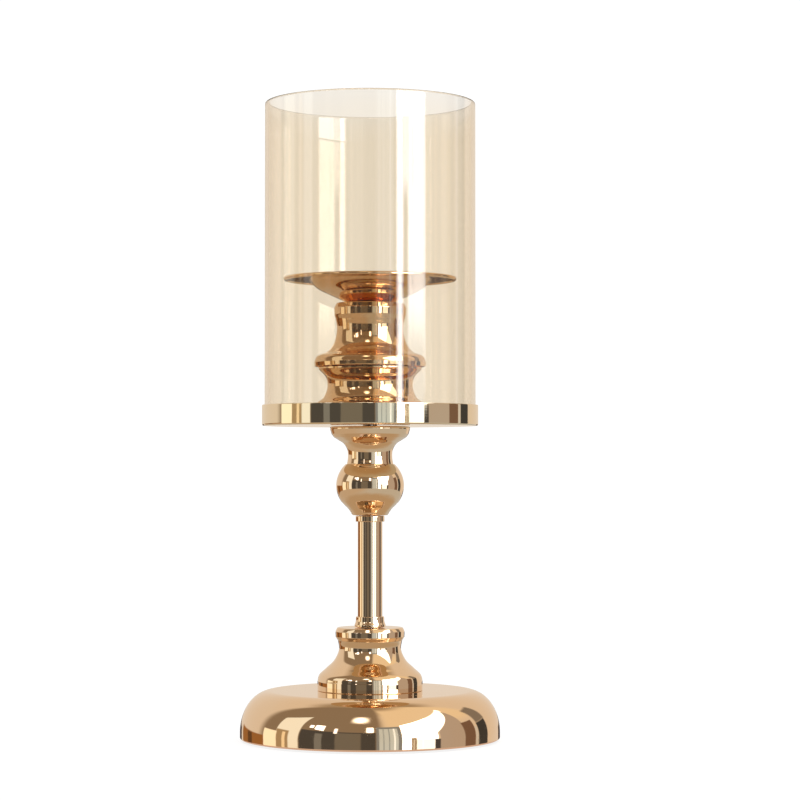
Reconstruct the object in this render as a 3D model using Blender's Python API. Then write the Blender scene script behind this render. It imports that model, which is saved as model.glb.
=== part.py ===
"""Hurricane candle lantern: a gold-plated turned stand with a glass tube that lifts off.

Every turned piece is a spun sheet-metal shell. The shells stack on one threaded tie rod,
which is nutted under the base weight and inside the candle dish, and the glass tube stands
loose in a shallow gallery. All lengths are millimetres until finish() builds the mesh.
The origin is the centre of the foot print on the table, and +Z is up.
"""

import math

import bmesh
import bpy

METRES_PER_MM = 0.001

# Driving dimensions, in millimetres.
SHEET = 0.9  # wall of the spun shells
GAP = 0.3  # clearance between pieces that touch
ROD_RADIUS = 4.0
ROD_HOLE = ROD_RADIUS + GAP

BASE_RADIUS = 73.6
BASE_TOP = 28.2
BASE_WIDEST_Z = 5.0
BASE_RIM_Z = 1.1  # the felt stands this far below the metal rim
BASE_SHOULDER = 17.6  # how far the shoulder's quarter ellipse reaches inwards
BASE_ROLL = 1.1  # radius of the rim's roll, below a short upright wall
BOARD_RADIUS = 70.0
FELT_RADIUS = 62.0
FELT_THICKNESS = 1.4
BOARD_THICKNESS = 2.0
WEIGHT_RADIUS = 56.0
WEIGHT_THICKNESS = 12.0

PEDESTAL_HEIGHT = 35.3
STEM_RADIUS = 7.0
STEM_LENGTH = 63.0
FERRULE_BORE = STEM_RADIUS + GAP
LOWER_FERRULE_HEIGHT = 5.8
UPPER_FERRULE_HEIGHT = 3.4

BALL_RADIUS = 19.3
BALL_CROWN = 17.6  # half-height of the ellipse above the ball's widest line
BALL_BELLY = 17.0  # and of the one below it
BALL_FOOT_DROP = 16.8  # from the ball's centre down to the underside of its foot
BALL_NECK_RISE = 12.2  # from the ball's centre up to the neck
BELL_HEIGHT = 21.1

GALLERY_RADIUS = 61.5
GALLERY_HEIGHT = 11.9
GALLERY_BEND = 1.4
GLASS_RADIUS = 60.0
GLASS_WALL = 2.2
GLASS_HEIGHT = 183.0
GLASS_CHAMFER = 0.5

SPOOL_HEIGHT = 32.1
COLUMN_HEIGHT = 36.3
DISH_RADIUS = 49.2
DISH_DEPTH = 12.9  # from the underside of the brim down to the dish's seat
BRIM_BEAD = 1.1

NUT_ACROSS_FLATS = 13.0
NUT_HEIGHT = 5.0
WASHER_THICKNESS = 1.4
DISH_WASHER_RADIUS = 10.5
BASE_WASHER_RADIUS = 17.0
ROD_END = 0.5  # how far the rod stands out of each nut

# Facets round the axis, for large, middling and small pieces.
LARGE = 44
MIDDLE = 28
SMALL = 16
NUT_FACETS = 24
INNER_TOLERANCE = 0.3  # how far a shell's coarser inner face may stray from the true offset

# Heights up the stack, each worked out from the piece below it.
PEDESTAL_Z = BASE_TOP + GAP
STEM_Z = PEDESTAL_Z + PEDESTAL_HEIGHT + GAP
STEM_TOP = STEM_Z + STEM_LENGTH
BALL_Z = STEM_TOP + GAP + BALL_FOOT_DROP
BELL_Z = BALL_Z + BALL_NECK_RISE + GAP
GALLERY_Z = BELL_Z + BELL_HEIGHT + GAP
GLASS_Z = GALLERY_Z + SHEET + GAP
SPOOL_Z = GLASS_Z
COLUMN_Z = SPOOL_Z + SPOOL_HEIGHT + GAP
DISH_Z = COLUMN_Z + COLUMN_HEIGHT + GAP
DISH_WASHER_Z = DISH_Z + SHEET + GAP
DISH_NUT_Z = DISH_WASHER_Z + WASHER_THICKNESS + GAP
WEIGHT_TOP = BASE_TOP - SHEET - GAP
WEIGHT_Z = WEIGHT_TOP - WEIGHT_THICKNESS
BASE_WASHER_Z = WEIGHT_Z - GAP - WASHER_THICKNESS
BASE_NUT_Z = BASE_WASHER_Z - GAP - NUT_HEIGHT
BOARD_Z = FELT_THICKNESS + GAP


def clear_scene():
    for obj in list(bpy.data.objects):
        bpy.data.objects.remove(obj)


def material(name, colour, roughness, metallic, transmission=0.0):
    """A Principled material with one colour."""
    made = bpy.data.materials.new(name)
    made.use_nodes = True
    shader = made.node_tree.nodes["Principled BSDF"]
    shader.inputs["Base Color"].default_value = (*colour, 1.0)
    shader.inputs["Roughness"].default_value = roughness
    shader.inputs["Metallic"].default_value = metallic
    shader.inputs["Transmission Weight"].default_value = transmission
    return made


# Outlines are lists of (radius, height) points.


def blend(a, b, start, end, at):
    """The point at knot value `at` on the line through a at `start` and b at `end`."""
    share = (at - start) / (end - start)
    return tuple(x + (y - x) * share for x, y in zip(a, b))


def curve(*points, steps=2):
    """Points on a smooth curve through these ones (a centripetal Catmull-Rom spline)."""
    before = blend(points[0], points[1], 0, 1, -1)
    after = blend(points[-2], points[-1], 0, 1, 2)
    padded = [before, *points, after]
    found = [points[0]]
    for i in range(len(points) - 1):
        p = padded[i : i + 4]
        t = [0.0]
        for a, b in zip(p, p[1:]):
            t.append(t[-1] + math.sqrt(math.dist(a, b)))
        for k in range(1, steps + 1):
            at = t[1] + (t[2] - t[1]) * k / steps
            lines = [blend(p[j], p[j + 1], t[j], t[j + 1], at) for j in range(3)]
            bends = [blend(lines[j], lines[j + 1], t[j], t[j + 2], at) for j in range(2)]
            found.append(blend(*bends, t[1], t[2], at))
    return found


def arc(centre, radii, start, end, steps):
    """Points on an ellipse from one angle to another, in degrees up from straight outwards."""
    angles = [math.radians(start + (end - start) * k / steps) for k in range(steps + 1)]
    return [
        (centre[0] + radii[0] * math.cos(angle), centre[1] + radii[1] * math.sin(angle))
        for angle in angles
    ]


def simplified(points, tolerance):
    """The fewest of these points that stay this close to the line (Douglas and Peucker)."""
    if len(points) < 3:
        return points
    (r0, z0), (r1, z1) = points[0], points[-1]
    length = math.dist(points[0], points[-1])
    strays = [abs((r1 - r0) * (z - z0) - (z1 - z0) * (r - r0)) / length for r, z in points]
    worst = strays.index(max(strays))
    if strays[worst] <= tolerance:
        return [points[0], points[-1]]
    return simplified(points[: worst + 1], tolerance)[:-1] + simplified(points[worst:], tolerance)


def offset(points, distance):
    """The line this far to the left of an outline that runs up its outside, with mitred corners."""
    moved = []
    for i, (radius, z) in enumerate(points):
        neighbours = points[max(i - 1, 0) : i + 2]
        normals = []
        for a, b in zip(neighbours, neighbours[1:]):
            length = math.dist(a, b)
            normals.append(((a[1] - b[1]) / length, (b[0] - a[0]) / length))
        first, last = normals[0], normals[-1]
        mitre = distance / (1 + first[0] * last[0] + first[1] * last[1])
        moved.append((radius + mitre * (first[0] + last[0]), z + mitre * (first[1] + last[1])))
    return moved


def shell(outside):
    """The closed outline of a sheet-metal wall whose outside follows these points upwards."""
    inside = simplified(offset(outside, SHEET), INNER_TOLERANCE)
    return outside + inside[::-1]


def finish(name, work, height, look):
    """An object at this height from a bmesh in millimetres, smooth apart from its sharp edges."""
    bmesh.ops.scale(work, vec=(METRES_PER_MM,) * 3, verts=work.verts)
    bmesh.ops.recalc_face_normals(work, faces=work.faces)
    mesh = bpy.data.meshes.new(name)
    work.to_mesh(mesh)
    work.free()
    mesh.shade_smooth()
    mesh.set_sharp_from_angle(angle=math.radians(35))
    mesh.materials.append(look)
    obj = bpy.data.objects.new(name, mesh)
    obj.location.z = height * METRES_PER_MM
    bpy.context.scene.collection.objects.link(obj)


def swept(name, outline_at, height, look, sides):
    """A ring about the Z axis, whose closed outline at each angle comes from a function."""
    work = bmesh.new()
    rows = []
    for k in range(sides):
        angle = math.tau * k / sides
        place = (math.cos(angle), math.sin(angle))
        rows.append([work.verts.new((r * place[0], r * place[1], z)) for r, z in outline_at(angle)])
    for row, following in zip(rows, rows[1:] + rows[:1]):
        for i in range(len(row)):
            work.faces.new((row[i - 1], row[i], following[i], following[i - 1]))
    finish(name, work, height, look)


def turned(name, outline, height, look, sides=MIDDLE):
    """A ring turned about the Z axis from one closed outline."""
    swept(name, lambda angle: outline, height, look, sides)


def disc(name, radius, thickness, height, look, sides=LARGE):
    """A plain solid disc on the Z axis, from this height up."""
    work = bmesh.new()
    bmesh.ops.create_cone(
        work,
        cap_ends=True,
        segments=sides,
        radius1=radius,
        radius2=radius,
        depth=thickness,
    )
    bmesh.ops.translate(work, vec=(0, 0, thickness / 2), verts=work.verts)
    finish(name, work, height, look)


def collar(inner, outer, length):
    """The outline of a plain ring."""
    return [(inner, 0.0), (outer, 0.0), (outer, length), (inner, length)]


def base_dome(gold):
    """The domed foot: a rim rolled under, an elliptical shoulder and a flat top."""
    shoulder_centre = (BASE_RADIUS - BASE_SHOULDER, BASE_WIDEST_Z)
    shoulder = arc(shoulder_centre, (BASE_SHOULDER, BASE_TOP - BASE_WIDEST_Z), 0, 90, 8)
    roll_centre = (BASE_RADIUS - BASE_ROLL, BASE_RIM_Z + BASE_ROLL)
    roll = arc(roll_centre, (BASE_ROLL, BASE_ROLL), -90, 0, 2)
    turned("base_dome", shell([*roll, *shoulder, (ROD_HOLE, BASE_TOP)]), 0.0, gold, LARGE)


def base_filling(iron, felt, board):
    """The weight inside the foot, the board that closes it, and the felt it stands on."""
    bevel, corner = 9.0, 4.0
    weight = [
        (ROD_HOLE, 0.0),
        (WEIGHT_RADIUS, 0.0),
        (WEIGHT_RADIUS, WEIGHT_THICKNESS - corner),
        (WEIGHT_RADIUS - bevel, WEIGHT_THICKNESS),
        (ROD_HOLE, WEIGHT_THICKNESS),
    ]
    turned("base_weight", weight, WEIGHT_Z, iron)
    disc("bottom_board", BOARD_RADIUS, BOARD_THICKNESS, BOARD_Z, board)
    disc("felt_pad", FELT_RADIUS, FELT_THICKNESS, 0.0, felt)


def pedestal(gold):
    """The waisted shell under the stem: a deep band, a cove and a top ring."""
    outside = [
        (29.8, 0.0),
        *curve((29.8, 5.0), (28.9, 8.4), (24.9, 12.3), (20.3, 16.8), (17.6, 23.0), (18.2, 28.0)),
        (19.5, 30.0),
        (19.6, 33.1),
        (18.6, PEDESTAL_HEIGHT),
        (ROD_HOLE, PEDESTAL_HEIGHT),
    ]
    turned("pedestal", shell(outside), PEDESTAL_Z, gold)


def stem(gold):
    """The stem tube, with a ferrule round each end."""
    tube = collar(STEM_RADIUS - SHEET, STEM_RADIUS, STEM_LENGTH)
    turned("stem_tube", tube, STEM_Z, gold, SMALL)
    lower = [
        (FERRULE_BORE, 0.0),
        (8.8, 0.0),
        (8.8, 1.3),
        (8.1, 3.2),
        (8.0, LOWER_FERRULE_HEIGHT),
        (FERRULE_BORE, LOWER_FERRULE_HEIGHT),
    ]
    turned("lower_ferrule", lower, STEM_Z, gold, SMALL)
    chamfer = 0.4
    upper = [
        (FERRULE_BORE, 0.0),
        (8.2 - chamfer, 0.0),
        (8.2, chamfer),
        (8.2, UPPER_FERRULE_HEIGHT),
        (FERRULE_BORE, UPPER_FERRULE_HEIGHT),
    ]
    turned("upper_ferrule", upper, STEM_TOP - UPPER_FERRULE_HEIGHT, gold, SMALL)


def ball_knop(gold):
    """The ball: a slightly flattened globe, drawn in below to a small rolled foot."""
    neck_angle = math.degrees(math.asin(BALL_NECK_RISE / BALL_CROWN))
    outside = [
        (ROD_HOLE, -BALL_FOOT_DROP),
        (9.9, -BALL_FOOT_DROP),
        (10.5, -BALL_FOOT_DROP + 0.8),
        *curve((10.8, -15.3), (12.3, -13.2), (14.5, -11.0)),
        *arc((0, 0), (BALL_RADIUS, BALL_BELLY), -31, 0, 2),
        *arc((0, 0), (BALL_RADIUS, BALL_CROWN), 0, neck_angle, 4)[1:],
        (ROD_HOLE, BALL_NECK_RISE),
    ]
    turned("ball_knop", shell(outside), BALL_Z, gold)


def neck_bell(gold):
    """The upright neck that flares out to carry the gallery."""
    outside = [
        *curve((13.2, 0.1), (12.6, 4.0), (13.0, 8.0), (15.0, 11.4), (17.8, 13.3), (20.5, 15.0)),
        (21.9, 16.8),
        (22.9, BELL_HEIGHT - 1.1),
        (22.4, BELL_HEIGHT),
        (ROD_HOLE, BELL_HEIGHT),
    ]
    turned("neck_bell", shell(outside), BELL_Z, gold)


def glass_gallery(gold):
    """The shallow pan whose rim holds the foot of the glass."""
    bend_centre = (GALLERY_RADIUS - GALLERY_BEND, GALLERY_BEND)
    outside = [
        (ROD_HOLE, 0.0),
        *arc(bend_centre, (GALLERY_BEND, GALLERY_BEND), -90, 0, 2),
        (GALLERY_RADIUS, GALLERY_HEIGHT),
    ]
    turned("glass_gallery", shell(outside), GALLERY_Z, gold, LARGE)


def hurricane_glass(glass):
    """The open glass tube, with fire-polished edges."""
    inside = GLASS_RADIUS - GLASS_WALL
    outline = [
        (inside + GLASS_CHAMFER, 0.0),
        (GLASS_RADIUS - GLASS_CHAMFER, 0.0),
        (GLASS_RADIUS, GLASS_CHAMFER),
        (GLASS_RADIUS, GLASS_HEIGHT - GLASS_CHAMFER),
        (GLASS_RADIUS - GLASS_CHAMFER, GLASS_HEIGHT),
        (inside + GLASS_CHAMFER, GLASS_HEIGHT),
        (inside, GLASS_HEIGHT - GLASS_CHAMFER),
        (inside, GLASS_CHAMFER),
    ]
    turned("hurricane_glass", outline, GLASS_Z, glass, LARGE)


def column(gold):
    """Inside the glass: a spool on the gallery floor, and a waisted shell on the spool."""
    spool = [
        (33.6, 0.0),
        *curve((33.6, 6.5), (30.4, 11.6), (26.4, 15.1), (24.3, 21.0), (25.2, 26.4), (29.3, 31.0)),
        (29.3, SPOOL_HEIGHT),
        (ROD_HOLE, SPOOL_HEIGHT),
    ]
    turned("column_spool", shell(spool), SPOOL_Z, gold)
    body = [
        (31.5, 0.0),
        *curve((31.8, 2.5), (30.4, 5.8), (24.6, 8.4), (20.9, 12.8), (18.9, 21.5), (19.6, 27.0)),
        (20.4, 29.4),
        (20.5, 33.4),
        (19.2, COLUMN_HEIGHT),
        (ROD_HOLE, COLUMN_HEIGHT),
    ]
    turned("column_body", shell(body), COLUMN_Z, gold)


def candle_dish(gold):
    """The dish for the candle: a sunk well, a flat brim and a beaded edge."""
    bead_centre = (DISH_RADIUS - BRIM_BEAD, DISH_DEPTH + SHEET / 2)
    well = curve((13.6, 0.0), (19.4, 2.7), (25.8, 5.6), (30.2, 8.0), (32.8, 10.4), (34.6, DISH_DEPTH))
    underside = [(ROD_HOLE, 0.0), *well, (bead_centre[0] - BRIM_BEAD, DISH_DEPTH)]
    upper_face = simplified(offset(underside, SHEET), INNER_TOLERANCE)
    bead = arc(bead_centre, (BRIM_BEAD, BRIM_BEAD), -120, 120, 4)
    turned("candle_dish", [*underside, *bead, *upper_face[::-1]], DISH_Z, gold, LARGE)


def nut(name, height, look):
    """A hexagon nut with both ends turned down to a cone."""
    half_flats = NUT_ACROSS_FLATS / 2
    turned_radius = half_flats - GAP

    def outline_at(angle):
        off_flat = (angle + math.pi / 6) % (math.pi / 3) - math.pi / 6
        radius = half_flats / math.cos(off_flat)
        drop = (radius - turned_radius) * math.tan(math.radians(30))
        return [
            (ROD_HOLE, 0.0),
            (turned_radius, 0.0),
            (radius, drop),
            (radius, NUT_HEIGHT - drop),
            (turned_radius, NUT_HEIGHT),
            (ROD_HOLE, NUT_HEIGHT),
        ]

    swept(name, outline_at, height, look, NUT_FACETS)


def fixings(gold, steel):
    """The tie rod, and the washer and nut at each end of it."""
    rod_z = BASE_NUT_Z - ROD_END
    rod_length = DISH_NUT_Z + NUT_HEIGHT + ROD_END - rod_z
    disc("tie_rod", ROD_RADIUS, rod_length, rod_z, steel, SMALL)
    base_washer = collar(ROD_HOLE, BASE_WASHER_RADIUS, WASHER_THICKNESS)
    turned("base_washer", base_washer, BASE_WASHER_Z, steel, SMALL)
    nut("base_nut", BASE_NUT_Z, steel)
    dish_washer = collar(ROD_HOLE, DISH_WASHER_RADIUS, WASHER_THICKNESS)
    turned("dish_washer", dish_washer, DISH_WASHER_Z, gold, SMALL)
    nut("dish_nut", DISH_NUT_Z, gold)


def main():
    clear_scene()
    gold = material("plated_gold", (0.86, 0.62, 0.40), 0.08, 1.0)
    glass = material("amber_glass", (0.94, 0.86, 0.72), 0.02, 0.0, transmission=1.0)
    iron = material("cast_iron", (0.12, 0.12, 0.12), 0.7, 0.6)
    steel = material("zinc_steel", (0.62, 0.62, 0.60), 0.35, 1.0)
    felt = material("felt", (0.03, 0.03, 0.03), 1.0, 0.0)
    board = material("fibre_board", (0.35, 0.24, 0.15), 0.9, 0.0)
    base_dome(gold)
    base_filling(iron, felt, board)
    pedestal(gold)
    stem(gold)
    ball_knop(gold)
    neck_bell(gold)
    glass_gallery(gold)
    hurricane_glass(glass)
    column(gold)
    candle_dish(gold)
    fixings(gold, steel)


main()
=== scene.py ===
"""Looks of a hurricane candle lantern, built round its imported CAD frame.

Each turned piece that shows is replaced with a finer one on the same outline: smooth all
round, with rolled and rounded edges. Outlines are lists of (radius, height) points in
millimetres, measured from the node's own underside. The room that the polished metal
mirrors is a set of soft panels in the world shader, over a warm table in the floor's
material. The camera itself sees a plain white studio.
"""

import math

import bmesh
import bpy
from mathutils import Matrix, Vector


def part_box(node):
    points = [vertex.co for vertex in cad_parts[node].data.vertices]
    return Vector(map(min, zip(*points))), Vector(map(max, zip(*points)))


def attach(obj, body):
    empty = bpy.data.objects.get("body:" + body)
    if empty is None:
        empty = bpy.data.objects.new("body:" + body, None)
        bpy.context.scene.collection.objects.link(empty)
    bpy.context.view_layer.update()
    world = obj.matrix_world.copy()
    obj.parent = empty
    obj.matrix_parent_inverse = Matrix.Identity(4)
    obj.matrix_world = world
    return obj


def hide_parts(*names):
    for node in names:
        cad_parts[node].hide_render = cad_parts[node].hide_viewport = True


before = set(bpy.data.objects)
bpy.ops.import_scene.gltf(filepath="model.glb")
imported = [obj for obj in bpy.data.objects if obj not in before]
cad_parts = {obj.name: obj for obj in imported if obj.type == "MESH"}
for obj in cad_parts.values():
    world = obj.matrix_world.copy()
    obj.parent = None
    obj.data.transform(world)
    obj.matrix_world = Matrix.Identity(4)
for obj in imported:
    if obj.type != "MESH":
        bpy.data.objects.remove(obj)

MM = 0.001
TAU = math.tau

# Dimensions that the outlines share, in millimetres. The first two repeat the CAD model's.
SHEET = 0.9  # wall of the spun shells
ROD_HOLE = 4.3  # radius of the hole for the tie rod in every piece of the stack
EDGE = 0.3  # radius of a plain rounded edge
EDGE_STEPS = 4
GUARD = 0.4  # how far a guard point stands from the end of its straight run

# Facets round the axis, for large, middling and small pieces.
LARGE = 192
MIDDLE = 144
SMALL = 96

# The camera: distance and height in metres, lens and sensor in millimetres.
CAMERA_DISTANCE = 1.4536
CAMERA_HEIGHT = 0.153
CAMERA_LENS = 115.0
CAMERA_SENSOR = 36.0
CAMERA_PITCH = 1.57  # degrees up from level
CAMERA_TURN = 0.67  # degrees to the right of the stand's axis


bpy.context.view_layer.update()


# Outlines.


def blend(a, b, start, end, at):
    """The point at knot value `at` on the line through a at `start` and b at `end`."""
    share = (at - start) / (end - start)
    return tuple(x + (y - x) * share for x, y in zip(a, b))


def curve(*points, steps=12):
    """Points on a smooth curve through these ones (a centripetal Catmull-Rom spline)."""
    before = blend(points[0], points[1], 0, 1, -1)
    after = blend(points[-2], points[-1], 0, 1, 2)
    padded = [before, *points, after]
    found = [points[0]]
    for i in range(len(points) - 1):
        p = padded[i : i + 4]
        t = [0.0]
        for a, b in zip(p, p[1:]):
            t.append(t[-1] + math.sqrt(math.dist(a, b)))
        for k in range(1, steps + 1):
            at = t[1] + (t[2] - t[1]) * k / steps
            lines = [blend(p[j], p[j + 1], t[j], t[j + 1], at) for j in range(3)]
            bends = [blend(lines[j], lines[j + 1], t[j], t[j + 2], at) for j in range(2)]
            found.append(blend(*bends, t[1], t[2], at))
    return found


def arc(centre, radii, start, end, steps):
    """Points on an ellipse from one angle to another, in degrees up from straight outwards."""
    angles = [math.radians(start + (end - start) * k / steps) for k in range(steps + 1)]
    return [
        (centre[0] + radii[0] * math.cos(angle), centre[1] + radii[1] * math.sin(angle))
        for angle in angles
    ]


def rounded(points, radius=EDGE, closed=False):
    """The outline with each sharp corner turned into a small round one."""
    sharp = math.radians(20)
    longest_share = 0.45  # of a side, that one corner may take
    found = []
    count = len(points)
    for i, here in enumerate(points):
        if not closed and i in (0, count - 1):
            found.append(here)
            continue
        here = Vector(here)
        back = Vector(points[i - 1]) - here
        on = Vector(points[(i + 1) % count]) - here
        turn = math.pi - back.angle(on)
        if turn < sharp:
            found.append(tuple(here))
            continue
        reach = min(
            radius * math.tan(turn / 2),
            longest_share * back.length,
            longest_share * on.length,
        )
        start = here + back.normalized() * reach
        end = here + on.normalized() * reach
        for k in range(EDGE_STEPS + 1):
            share = k / EDGE_STEPS
            found.append(tuple(start.lerp(here, share).lerp(here.lerp(end, share), share)))
    return found


def offset(points, distance):
    """The line this far to the left of an outline that runs up its outside, with mitred corners."""
    moved = []
    for i, (radius, z) in enumerate(points):
        neighbours = points[max(i - 1, 0) : i + 2]
        normals = []
        for a, b in zip(neighbours, neighbours[1:]):
            length = math.dist(a, b)
            normals.append(((a[1] - b[1]) / length, (b[0] - a[0]) / length))
        first, last = normals[0], normals[-1]
        mitre = distance / (1 + first[0] * last[0] + first[1] * last[1])
        moved.append((radius + mitre * (first[0] + last[0]), z + mitre * (first[1] + last[1])))
    return moved


def shell(outside):
    """The closed outline of a sheet-metal wall whose outside follows these points upwards."""
    return outside + offset(outside, SHEET)[::-1]


def guarded(outline):
    """A closed outline with a point near each end of every long straight run.

    Smooth shading then bends the light only at the edges and leaves the run itself straight.
    """
    found = []
    for here, following in zip(outline, outline[1:] + outline[:1]):
        found.append(here)
        length = math.dist(here, following)
        if length > 4 * GUARD:
            found.append(blend(here, following, 0, length, GUARD))
            found.append(blend(here, following, 0, length, length - GUARD))
    return found


# Meshes and pieces.


def swept_mesh(name, outline_at, sides):
    """A ring about the Z axis, whose closed outline at each angle comes from a function."""
    work = bmesh.new()
    rows = []
    for k in range(sides):
        angle = TAU * k / sides
        across = (math.cos(angle) * MM, math.sin(angle) * MM)
        rows.append(
            [work.verts.new((r * across[0], r * across[1], z * MM)) for r, z in outline_at(angle)]
        )
    for row, following in zip(rows, rows[1:] + rows[:1]):
        for i in range(len(row)):
            work.faces.new((row[i - 1], row[i], following[i], following[i - 1]))
    bmesh.ops.recalc_face_normals(work, faces=work.faces)
    mesh = bpy.data.meshes.new(name)
    work.to_mesh(mesh)
    work.free()
    mesh.shade_smooth()
    mesh.set_sharp_from_angle(angle=math.radians(40))
    return mesh


def add_piece(name, mesh, node, look, body="stand"):
    """Puts a finer piece where a CAD node stands, on the node's body."""
    mesh.materials.append(look)
    piece = bpy.data.objects.new(name, mesh)
    bpy.context.scene.collection.objects.link(piece)
    piece.location.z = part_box(node)[0].z
    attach(piece, body)
    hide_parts(node)


def add_turned(name, outline, node, look, sides=MIDDLE, body="stand"):
    """Adds a piece that is round about the axis, from its closed outline."""
    guards = guarded(outline)
    mesh = swept_mesh(name, lambda angle: guards, sides)
    add_piece(name, mesh, node, look, body)


def foot(gold):
    """The domed foot: a rim rolled under, an elliptical shoulder and a flat top."""
    radius = 73.6
    top = 27.1
    widest = 3.9  # height of the line where the shoulder begins
    shoulder = 17.6  # how far the shoulder reaches inwards
    roll = 1.1  # radius of the roll at the rim
    outside = [
        *arc((radius - roll, roll), (roll, roll), -90, 0, 10),
        (radius, roll + GUARD),
        *arc((radius - shoulder, widest), (shoulder, top - widest), 0, 90, 48),
        (ROD_HOLE, top),
    ]
    add_turned("foot_shell", rounded(shell(outside), closed=True), "base_dome", gold, LARGE)


def pedestal(gold):
    """The waisted pedestal, whose skirt reaches down over the gap above the foot."""
    skirt = -0.25
    height = 35.3
    outside = [
        (29.8, skirt),
        *curve((29.8, 5.0), (28.9, 8.4), (24.9, 12.3), (20.3, 16.8), (17.6, 23.0), (18.2, 28.0)),
        (19.5, 30.0),
        (19.6, 33.1),
        (18.6, height),
        (ROD_HOLE, height),
    ]
    add_turned("pedestal_shell", rounded(shell(rounded(outside, 1.0)), closed=True), "pedestal", gold)


def stem(gold):
    """The stem tube and the ferrule round each end of it."""
    radius = 7.0
    length = 63.0
    bore = 7.3
    tube = [(radius - SHEET, 0.0), (radius, 0.0), (radius, length), (radius - SHEET, length)]
    add_turned("stem", rounded(tube, closed=True), "stem_tube", gold, SMALL)
    lower = [
        (bore, 0.0),
        (8.8, 0.0),
        *curve((8.8, 1.2), (8.2, 3.0), (8.0, 5.8), steps=8),
        (bore, 5.8),
    ]
    add_turned("stem_foot_ferrule", rounded(lower, closed=True), "lower_ferrule", gold, SMALL)
    upper = [(bore, 0.0), (8.2, 0.0), (8.2, 3.4), (bore, 3.4)]
    add_turned("stem_top_ferrule", rounded(upper, 0.6, closed=True), "upper_ferrule", gold, SMALL)


def ball(gold):
    """The ball: a slightly flattened globe, drawn in below to a small rolled foot."""
    radius = 19.3
    crown = 17.6  # half-height of the ellipse above the widest line
    belly = 17.0  # and of the one below it
    centre = 16.8  # height of the widest line
    neck_rise = 12.2  # from there up to the neck
    neck_angle = math.degrees(math.asin(neck_rise / crown))
    outside = [
        (ROD_HOLE, 0.0),
        (9.9, 0.0),
        (10.5, 0.8),
        *curve((10.8, 1.5), (12.3, 3.6), (14.5, 5.8)),
        *arc((0, centre), (radius, belly), -32, 0, 12)[:-1],
        *arc((0, centre), (radius, crown), 0, neck_angle, 20),
        (ROD_HOLE, centre + neck_rise),
    ]
    add_turned("ball", rounded(shell(outside), closed=True), "ball_knop", gold)


def neck(gold):
    """The bell under the gallery, whose skirt reaches down over the gap above the ball."""
    skirt = -0.3
    height = 21.1
    outside = [
        *curve((13.2, skirt), (12.6, 4.0), (13.0, 8.0), (15.0, 11.4), (17.8, 13.3), (20.5, 15.0)),
        (21.9, 16.8),
        (22.9, 20.0),
        (22.4, height),
        (ROD_HOLE, height),
    ]
    add_turned("neck", rounded(shell(rounded(outside, 1.2)), closed=True), "neck_bell", gold)


def gallery(gold):
    """The shallow pan whose rim holds the foot of the glass."""
    radius = 61.5
    height = 11.9
    bend = 1.0
    outside = [
        (ROD_HOLE, 0.0),
        *arc((radius - bend, bend), (bend, bend), -90, 0, 10),
        (radius, height),
    ]
    add_turned("gallery_pan", rounded(shell(outside), 0.4, closed=True), "glass_gallery", gold, LARGE)


def column(gold):
    """The spool on the gallery floor, and the waisted shell on the spool."""
    spool_height = 32.1
    spool = [
        (33.6, 0.0),
        *curve((33.6, 6.5), (30.4, 11.6), (26.4, 15.1), (24.3, 21.0), (25.2, 26.4), (29.3, 31.0)),
        (29.3, spool_height),
        (ROD_HOLE, spool_height),
    ]
    add_turned("spool", rounded(shell(rounded(spool)), closed=True), "column_spool", gold)
    body_height = 36.3
    body = [
        (31.5, 0.0),
        *curve((31.8, 2.5), (30.4, 5.8), (24.6, 8.4), (20.9, 12.8), (18.9, 21.5), (19.6, 27.0)),
        (20.4, 29.4),
        (20.5, 33.4),
        (19.2, body_height),
        (ROD_HOLE, body_height),
    ]
    add_turned("column_shell", rounded(shell(rounded(body, 1.0)), closed=True), "column_body", gold)


def dish(gold):
    """The candle dish: a sunk well, a flat brim and a beaded edge."""
    radius = 49.2
    depth = 12.9  # from the brim's underside down to the dish's seat
    bead_radius = 1.1
    bead_centre = (radius - bead_radius, depth + SHEET / 2)
    well = curve((13.6, 0.0), (19.4, 2.7), (25.8, 5.6), (30.2, 8.0), (32.8, 10.4), (34.6, depth))
    underside = rounded([(ROD_HOLE, 0.0), *well, (bead_centre[0] - bead_radius, depth)], 1.0)
    bead = arc(bead_centre, (bead_radius, bead_radius), -150, 150, 20)
    outline = [*underside[:-1], *bead, *offset(underside, SHEET)[-2::-1]]
    add_turned("dish", outline, "candle_dish", gold, LARGE)


def washer(gold):
    """The flat washer in the dish."""
    radius = 10.5
    thickness = 1.4
    outline = [(ROD_HOLE, 0.0), (radius, 0.0), (radius, thickness), (ROD_HOLE, thickness)]
    add_turned("well_washer", rounded(outline, closed=True), "dish_washer", gold, SMALL)


def nut(gold):
    """The hexagon nut in the dish, with its corners turned off and its bore eased."""
    half_flats = 6.5
    height = 5.0
    turned_radius = 6.2  # of the flat ring that the turned corners leave on each face
    turned_slope = math.tan(math.radians(30))
    ease = 0.4  # chamfer at each end of the bore
    sixth = TAU / 6

    def outline_at(angle):
        off_flat = (angle + sixth / 2) % sixth - sixth / 2
        radius = half_flats / math.cos(off_flat)
        drop = (radius - turned_radius) * turned_slope
        return guarded(
            [
                (ROD_HOLE, ease),
                (ROD_HOLE + ease, 0.0),
                (turned_radius, 0.0),
                (radius, drop),
                (radius, height - drop),
                (turned_radius, height),
                (ROD_HOLE + ease, height),
                (ROD_HOLE, height - ease),
            ]
        )

    add_piece("well_nut", swept_mesh("well_nut", outline_at, SMALL), "dish_nut", gold)


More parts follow.
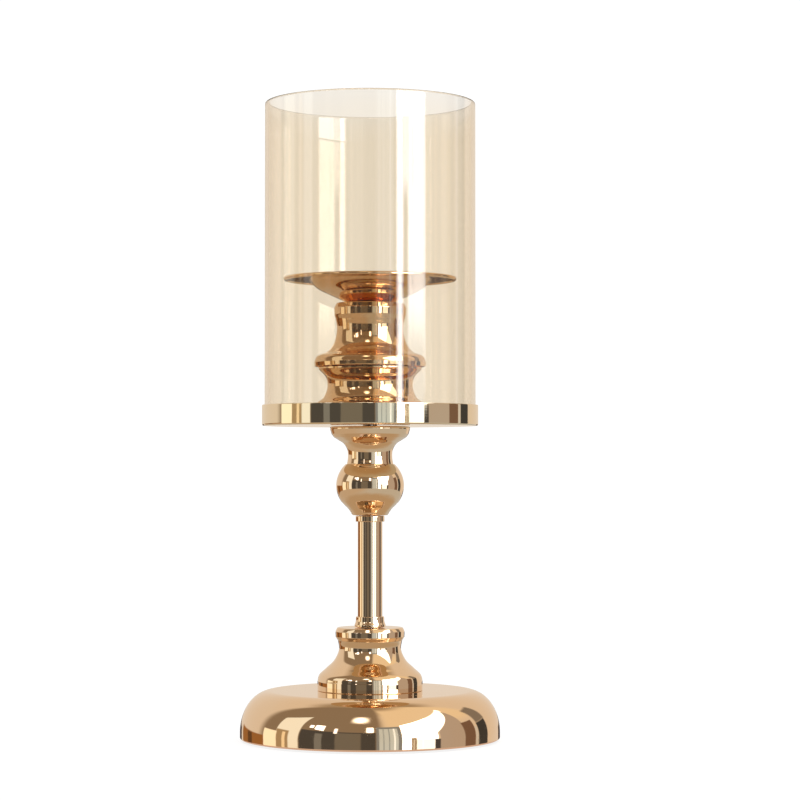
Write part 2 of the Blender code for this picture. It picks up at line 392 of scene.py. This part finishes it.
def glass_tube(glass):
    """The open glass tube, with fire-polished rims."""
    radius = 60.0
    height = 183.0
    wall = 2.2
    rim = wall / 2
    middle = radius - rim
    outline = [
        *arc((middle, rim), (rim, rim), -180, 0, 12),
        *arc((middle, height - rim), (rim, rim), 0, 180, 12),
    ]
    add_turned("glass_tube", outline, "hurricane_glass", glass, LARGE, "shade")


# Materials.

# Each metal's and the glass's two tones.
GOLD = (0.86, 0.66, 0.46, 1.0)
GOLD_WARM = (0.87, 0.64, 0.42, 1.0)
PALE_GOLD = (0.85, 0.72, 0.52, 1.0)
PALE_GOLD_WARM = (0.86, 0.70, 0.49, 1.0)
AMBER = (0.915, 0.845, 0.735, 1.0)
AMBER_PALE = (0.91, 0.875, 0.82, 1.0)

MOTTLE = (0.35, 0.65)  # noise values between which one tone turns into the other
AMBER_FADE = (0.180, 0.208)  # heights in metres between which the amber turns paler, before its wander


class Nodes:
    """Adds nodes to one node tree, with short calls for the common kinds."""

    def __init__(self, tree):
        self.tree = tree

    def add(self, kind, settings=None, **sockets):
        """A new node, with settings by name, and values or links for its inputs by name."""
        node = self.tree.nodes.new(kind)
        for name, value in (settings or {}).items():
            setattr(node, name, value)
        for name, value in sockets.items():
            self.join(value, node.inputs[name.replace("_", " ")])
        return node

    def join(self, value, socket):
        """Links a socket to the input, or sets a plain value on it."""
        if isinstance(value, bpy.types.NodeSocket):
            self.tree.links.new(value, socket)
        else:
            socket.default_value = value

    def maths(self, operation, *values):
        """The result of one sum on numbers."""
        node = self.tree.nodes.new("ShaderNodeMath")
        node.operation = operation
        for value, socket in zip(values, node.inputs):
            self.join(value, socket)
        return node.outputs[0]

    def ranged(self, value, low, high, to_low=0.0, to_high=1.0):
        """A value carried smoothly from one range to another, clamped."""
        node = self.tree.nodes.new("ShaderNodeMapRange")
        node.interpolation_type = "SMOOTHSTEP"
        for item, socket in zip((value, low, high, to_low, to_high), node.inputs):
            self.join(item, socket)
        return node.outputs[0]

    def mixed(self, share, a, b):
        """Colour a turning into colour b."""
        node = self.tree.nodes.new("ShaderNodeMix")
        node.data_type = "RGBA"
        for name, item in (("Factor_Float", share), ("A_Color", a), ("B_Color", b)):
            self.join(item, next(s for s in node.inputs if s.identifier == name))
        return next(s for s in node.outputs if s.identifier == "Result_Color")

    def shader_mix(self, share, a, b):
        """Shader a turning into shader b."""
        node = self.add("ShaderNodeMixShader", Fac=share)
        self.join(a, node.inputs[1])
        self.join(b, node.inputs[2])
        return node.outputs[0]

    def noise(self, place, scale, detail, roughness=0.5):
        """Soft noise from 0 to 1."""
        return self.add(
            "ShaderNodeTexNoise", Vector=place, Scale=scale, Detail=detail, Roughness=roughness
        ).outputs["Fac"]

    def split(self, vector):
        """The three parts of a vector."""
        return self.add("ShaderNodeSeparateXYZ", Vector=vector).outputs


def new_material(name):
    """A material with a Principled shader: (material, its Nodes, the shader, object coordinates)."""
    made = bpy.data.materials.new(name)
    made.use_nodes = True
    nodes = Nodes(made.node_tree)
    shader = made.node_tree.nodes["Principled BSDF"]
    place = nodes.add("ShaderNodeTexCoord").outputs["Object"]
    return made, nodes, shader, place


def bump(nodes, shader, height, distance):
    """Gives a shader the bumps of a height that runs from 0 to 1, this many metres deep."""
    node = nodes.add("ShaderNodeBump", Height=height, Distance=distance, Strength=1.0)
    nodes.join(node.outputs["Normal"], shader.inputs["Normal"])


def distance_from_axis(nodes, x, y):
    """The radius at which a point of a turned piece lies."""
    squares = [nodes.maths("MULTIPLY", part, part) for part in (x, y)]
    return nodes.maths("SQRT", nodes.maths("ADD", *squares))


def gold_material(name, light, warm):
    """Gold plate, mirror polished, with faint turning lines, haze and tone changes."""
    made, nodes, shader, place = new_material(name)
    shader.inputs["Metallic"].default_value = 1.0
    tone = nodes.noise(place, scale=22.0, detail=2.0)
    colour = nodes.mixed(nodes.ranged(tone, *MOTTLE), light, warm)
    nodes.join(colour, shader.inputs["Base Color"])
    haze = nodes.noise(place, scale=90.0, detail=4.0, roughness=0.6)
    gloss = nodes.ranged(haze, 0.45, 0.75, to_low=0.025, to_high=0.09)
    nodes.join(gloss, shader.inputs["Roughness"])
    x, y, z = nodes.split(place)
    radius = distance_from_axis(nodes, x, y)
    along = nodes.add("ShaderNodeCombineXYZ", X=radius, Y=z, Z=0.0).outputs[0]
    turning = nodes.noise(along, scale=2200.0, detail=2.0)
    ripple = nodes.noise(place, scale=60.0, detail=1.0)
    turning_share = 0.04  # of the ripple's depth
    height = nodes.maths("ADD", nodes.maths("MULTIPLY", turning, turning_share), ripple)
    bump(nodes, shader, height, 0.00003)
    return made


def glass_material():
    """Clear glass with a pale amber tint that turns paler towards the top rim."""
    made, nodes, shader, place = new_material("amber_glass")
    shader.inputs["Transmission Weight"].default_value = 1.0
    shader.inputs["IOR"].default_value = 1.5
    height = nodes.split(place)[2]
    cloud = nodes.noise(place, scale=14.0, detail=2.0)
    wander = 0.03  # metres that the edge of the fade may move up and down
    level = nodes.maths("ADD", height, nodes.maths("MULTIPLY", cloud, wander))
    colour = nodes.mixed(nodes.ranged(level, *AMBER_FADE), AMBER, AMBER_PALE)
    nodes.join(colour, shader.inputs["Base Color"])
    smears = nodes.noise(place, scale=45.0, detail=4.0, roughness=0.6)
    gloss = nodes.ranged(smears, 0.5, 0.8, to_low=0.0, to_high=0.04)
    nodes.join(gloss, shader.inputs["Roughness"])
    stretched = nodes.add("ShaderNodeMapping", Vector=place, Scale=(1.0, 1.0, 0.15)).outputs[0]
    bump(nodes, shader, nodes.noise(stretched, scale=40.0, detail=1.0), 0.00004)
    return made


def rough_material(name, dark, light, scale, roughness, depth, metallic=0.0, sheen=0.0):
    """A plain rough surface: a mottled colour, uneven gloss and a fine grain."""
    made, nodes, shader, place = new_material(name)
    shader.inputs["Metallic"].default_value = metallic
    shader.inputs["Sheen Weight"].default_value = sheen
    grain = nodes.noise(place, scale, detail=5.0, roughness=0.6)
    colour = nodes.mixed(nodes.ranged(grain, *MOTTLE), (*dark, 1.0), (*light, 1.0))
    nodes.join(colour, shader.inputs["Base Color"])
    nodes.join(nodes.ranged(grain, 0.3, 0.7, *roughness), shader.inputs["Roughness"])
    bump(nodes, shader, grain, depth)
    return made


def felt_material():
    dark = (0.012, 0.012, 0.013)
    light = (0.04, 0.04, 0.042)
    return rough_material("felt", dark, light, 900.0, (0.9, 1.0), depth=0.0004, sheen=0.4)


def board_material():
    dark = (0.2, 0.13, 0.08)
    light = (0.36, 0.25, 0.16)
    return rough_material("fibre_board", dark, light, 500.0, (0.75, 0.95), depth=0.0002)


def iron_material():
    dark = (0.05, 0.05, 0.05)
    light = (0.13, 0.12, 0.12)
    return rough_material("cast_iron", dark, light, 250.0, (0.55, 0.8), depth=0.0004, metallic=0.7)


def steel_material():
    dark = (0.5, 0.5, 0.48)
    light = (0.68, 0.68, 0.66)
    return rough_material("zinc_steel", dark, light, 180.0, (0.25, 0.45), depth=0.0001, metallic=1.0)


def dress_hidden_nodes():
    """Gives the CAD nodes that stay, all inside or under other pieces, a material each."""
    steel = steel_material()
    looks = {
        "felt_pad": felt_material(),
        "bottom_board": board_material(),
        "base_weight": iron_material(),
        "base_washer": steel,
        "base_nut": steel,
        "tie_rod": steel,
    }
    for node, look in looks.items():
        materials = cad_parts[node].data.materials
        materials.clear()
        materials.append(look)


# The studio.

STUDIO_WHITE = (1.06, 1.06, 1.06, 1.0)

# The room that gloss mirrors. Azimuth is 0 behind the camera and rises to its right, and
# elevation is 0 at the horizon, both in degrees. Each panel is (left edge, right edge,
# (bottom at the left, at the right), (top at the left, at the right), softness, colour),
# and later panels cover earlier ones.
ROOM_WALL = (0.82, 0.72, 0.61)
UNDER = (-25, -25)  # well below the edge of the table
PANELS = [
    # The ceiling and upper walls, dusky behind the camera and warm to its right.
    (-200, 200, (62, 62), (95, 95), 16, (0.42, 0.32, 0.21)),
    (-112, 12, UNDER, (95, 95), 12, (0.30, 0.23, 0.16)),
    (14, 115, (28, 28), (78, 78), 14, (0.95, 0.80, 0.58)),
    # The left side: a tall cream window, shaded low down, an amber glow on the table with a
    # dark thing in it, a low window and a bright post.
    (-92, -66, UNDER, (33, 46), 1.5, (1.10, 1.12, 1.05)),
    (-92, -77, UNDER, (13, 13), 2, (0.46, 0.34, 0.20)),
    (-152, -108, UNDER, (-0.4, -0.4), 1.5, (0.36, 0.16, 0.05)),
    (-137, -128, UNDER, (-1, -1), 2, (0.14, 0.07, 0.03)),
    (-108, -91, UNDER, (9, 9), 1.5, (1.30, 1.22, 1.00)),
    (-84, -80.5, UNDER, (10, 10), 1, (1.10, 0.90, 0.60)),
    # A dark floor far beyond the lantern, low enough for the dish's underside alone to find it.
    (-200, -158, (-9, -9), (-3.2, -3.2), 1.2, (0.07, 0.045, 0.045)),
    (158, 200, (-9, -9), (-3.2, -3.2), 1.2, (0.07, 0.045, 0.045)),
    # The dark wall behind the camera, its cupboards, its small lamps and the ceiling lamp.
    (-65, 5, UNDER, (19, 19), 2, (0.085, 0.080, 0.075)),
    (-50, -43, UNDER, (14, 14), 1, (0.24, 0.24, 0.23)),
    (-31, -8, UNDER, (17, 17), 2, (0.20, 0.18, 0.15)),
    (-58, -54, (24, 24), (29, 29), 1.5, (3.0, 3.0, 3.2)),
    (-52, -43, (22, 20), (30, 30), 1.5, (4.0, 4.0, 4.2)),
    (-33, -30, (16, 16), (26, 26), 1.5, (2.5, 2.5, 2.6)),
    (-3, 3, (20, 20), (30, 30), 1.5, (5.0, 4.9, 4.8)),
    (-16, -5, (44, 44), (53, 53), 13, (7.0, 6.8, 6.4)),
    # The curtained window.
    (5.5, 28, UNDER, (31, 31), 1, (0.28, 0.31, 0.34)),
    (8, 25, UNDER, (27, 27), 0.6, (0.68, 0.78, 0.84)),
    (11.5, 12.5, UNDER, (27, 27), 0.6, (0.38, 0.45, 0.50)),
    (16.5, 17.5, UNDER, (27, 27), 0.6, (0.38, 0.45, 0.50)),
    (21, 22.5, UNDER, (27, 27), 0.6, (1.30, 1.45, 1.60)),
    # The big bright window, with its brightest panes, the sloping skylight above it, and
    # its posts. Only the glass shows how bright each pane is: the gold mirrors all as white.
    (28.5, 61.5, UNDER, (33, 44), 0.6, (4.8, 5.0, 5.4)),
    (30.4, 34.8, (0, 0), (31, 33), 0.8, (12.0, 12.4, 13.0)),
    (43, 62, (2.2, 2.2), (34, 42), 2, (7.5, 7.8, 8.2)),
    (38, 61.5, UNDER, (3.2, 3.2), 1.5, (1.80, 1.95, 2.10)),
    (60, 98, (10, 52), (43.5, 55), 1.5, (2.6, 2.7, 2.9)),
    (36.4, 41.4, UNDER, (6.3, 6.3), 0.8, (0.42, 0.33, 0.22)),
    (38.2, 39.4, UNDER, (3, 3), 0.6, (0.90, 0.85, 0.70)),
    (46.9, 47.5, UNDER, (16, 16), 0.3, (2.4, 2.5, 2.6)),
    (59.3, 59.8, UNDER, (16, 16), 0.3, (2.4, 2.5, 2.6)),
    (58.8, 65, UNDER, (1.6, 1.6), 0.8, (0.08, 0.075, 0.075)),
    # The right side: a grey-tan wall, a brown door and a dark doorway.
    (64.5, 94, UNDER, (14, 50), 1.5, (0.53, 0.46, 0.41)),
    (92.5, 107, UNDER, (21, 21), 1.5, (0.21, 0.13, 0.09)),
    (107.5, 111, UNDER, (10, 10), 1, (0.70, 0.70, 0.70)),
    (111.5, 127, UNDER, (14, 14), 1.5, (0.06, 0.06, 0.06)),
    (112, 128, (14, 14), (37, 37), 3, (0.26, 0.23, 0.20)),
]

# The floor, in metres from the lantern's axis. Gloss mirrors it as a table in these colours.
FLOOR_RADIUS = 30.0
FLOOR_GLOW = 0.8  # share of the floor's white that shadows don't darken
FLOOR_DARK = (0.95, 0.95, 0.95, 1.0)
FLOOR_LIGHT = (0.97, 0.97, 0.97, 1.0)
TABLE_WARM = (0.60, 0.49, 0.37, 1.0)  # on its left
TABLE_NEUTRAL = (0.58, 0.58, 0.55, 1.0)  # on its right
TABLE_TURN = (-0.30, 0.05)  # where the left colour turns into the right one
TABLE_SHADED = (0.52, 0.40, 0.27, 1.0)  # near the lantern
TABLE_SHADE = (0.20, 0.34)  # where the shade fades away, before its wander
TABLE_RING = (0.72, 0.56, 0.50, 1.0)  # the line of light that the foot's rolled rim mirrors
TABLE_RING_EDGE = (0.080, 0.088)  # where that light ends, just past the foot
TABLE_EDGE = (0.77, 0.81)  # Facing values between which mirrored rays start to skim over the table


def gloss_sees(nodes):
    """1 for rays that have been mirrored on the way from the camera, otherwise 0."""
    bounces = nodes.add("ShaderNodeLightPath").outputs["Glossy Depth"]
    return nodes.maths("GREATER_THAN", bounces, 0.5)


def above(nodes, value, edge, softness):
    """1 where a value is over the edge, fading to 0 over the softness."""
    return nodes.ranged(value, edge - softness / 2, edge + softness / 2)


def panel_mask(nodes, azimuth, elevation, panel):
    """1 inside a panel of the room, fading to 0 round its edges."""
    left, right, bottoms, tops, softness, _ = panel
    beyond_right = above(nodes, azimuth, right, softness)
    mask = nodes.maths("SUBTRACT", above(nodes, azimuth, left, softness), beyond_right)
    for (at_left, at_right), inside in ((bottoms, 1), (tops, -1)):
        slope = (at_right - at_left) / (right - left)
        over = nodes.maths("SUBTRACT", elevation, at_left - slope * left)
        over = nodes.maths("SUBTRACT", over, nodes.maths("MULTIPLY", azimuth, slope))
        side = above(nodes, nodes.maths("MULTIPLY", over, inside), 0.0, softness)
        mask = nodes.maths("MULTIPLY", mask, side)
    return mask


def build_world():
    """White for what the camera sees directly, and the room for what gloss mirrors."""
    world = bpy.data.worlds.new("studio")
    bpy.context.scene.world = world
    world.use_nodes = True
    tree = world.node_tree
    tree.nodes.clear()
    nodes = Nodes(tree)
    direction = nodes.add("ShaderNodeTexCoord").outputs["Generated"]
    x, y, z = nodes.split(direction)
    towards_camera = nodes.maths("MULTIPLY", y, -1.0)
    azimuth = nodes.maths("DEGREES", nodes.maths("ARCTAN2", x, towards_camera))
    elevation = nodes.maths("DEGREES", nodes.maths("ARCSINE", z))
    colour = (*ROOM_WALL, 1.0)
    for panel in PANELS:
        mask = panel_mask(nodes, azimuth, elevation, panel)
        colour = nodes.mixed(mask, colour, (*panel[-1], 1.0))
    shown = nodes.mixed(gloss_sees(nodes), STUDIO_WHITE, colour)
    background = nodes.add("ShaderNodeBackground", Color=shown)
    output = nodes.add("ShaderNodeOutputWorld")
    tree.links.new(background.outputs[0], output.inputs["Surface"])


def table_shader(nodes, place):
    """The table that gloss mirrors, which low rays skim over."""
    across = nodes.split(place)[0]
    colour = nodes.mixed(nodes.ranged(across, *TABLE_TURN), TABLE_WARM, TABLE_NEUTRAL)
    away = nodes.add("ShaderNodeVectorMath", {"operation": "LENGTH"}, Vector=place).outputs["Value"]
    # Noise that moves the edge of the painted shade near the lantern in and out.
    shade_edge_noise = nodes.noise(place, scale=9.0, detail=3.0)
    wander = 0.10  # metres that the edge of the shade may move in and out
    shaded = nodes.maths("ADD", away, nodes.maths("MULTIPLY", shade_edge_noise, wander))
    colour = nodes.mixed(nodes.ranged(shaded, *TABLE_SHADE), TABLE_SHADED, colour)
    colour = nodes.mixed(nodes.ranged(away, *TABLE_RING_EDGE), TABLE_RING, colour)
    glow = nodes.add("ShaderNodeEmission", Color=colour).outputs[0]
    beyond = nodes.add("ShaderNodeBsdfTransparent").outputs[0]
    grazing = nodes.add("ShaderNodeLayerWeight").outputs["Facing"]
    return nodes.shader_mix(nodes.ranged(grazing, *TABLE_EDGE), glow, beyond)


def floor_material():
    """Pale matt white with faint shadows to the camera, and the table to gloss."""
    made, nodes, shader, place = new_material("floor")
    shader.inputs["Roughness"].default_value = 1.0
    shader.inputs["Specular IOR Level"].default_value = 0.0
    speck = nodes.noise(place, scale=300.0, detail=3.0)
    nodes.join(nodes.mixed(speck, FLOOR_DARK, FLOOR_LIGHT), shader.inputs["Base Color"])
    lit = nodes.add("ShaderNodeEmission", Color=STUDIO_WHITE).outputs[0]
    pale = nodes.shader_mix(FLOOR_GLOW, shader.outputs[0], lit)
    surface = nodes.shader_mix(gloss_sees(nodes), pale, table_shader(nodes, place))
    output = next(node for node in made.node_tree.nodes if node.type == "OUTPUT_MATERIAL")
    nodes.join(surface, output.inputs["Surface"])
    return made


def build_studio():
    build_world()
    bpy.ops.mesh.primitive_circle_add(vertices=64, radius=FLOOR_RADIUS, fill_type="NGON")
    floor = bpy.context.object
    floor.name = "floor"
    floor.data.materials.append(floor_material())


def add_camera():
    data = bpy.data.cameras.new("camera")
    data.sensor_width = CAMERA_SENSOR
    data.lens = CAMERA_LENS
    camera = bpy.data.objects.new("camera", data)
    camera.location = (0.0, -CAMERA_DISTANCE, CAMERA_HEIGHT)
    camera.rotation_euler = (
        math.radians(90 + CAMERA_PITCH),
        0.0,
        math.radians(-CAMERA_TURN),
    )
    bpy.context.scene.collection.objects.link(camera)
    bpy.context.scene.camera = camera


def main():
    scene = bpy.context.scene
    scene.view_settings.view_transform = "Standard"
    # Light that is mirrored many times between the turned pieces keeps its deep colour.
    scene.cycles.max_bounces = 24
    scene.cycles.glossy_bounces = 12
    scene.cycles.transmission_bounces = 16
    gold = gold_material("champagne_gold", GOLD, GOLD_WARM)
    foot(gold)
    pedestal(gold)
    stem(gold)
    ball(gold)
    neck(gold)
    gallery(gold_material("pale_gold", PALE_GOLD, PALE_GOLD_WARM))
    column(gold)
    dish(gold)
    washer(gold)
    nut(gold)
    glass_tube(glass_material())
    dress_hidden_nodes()
    build_studio()
    add_camera()


main()
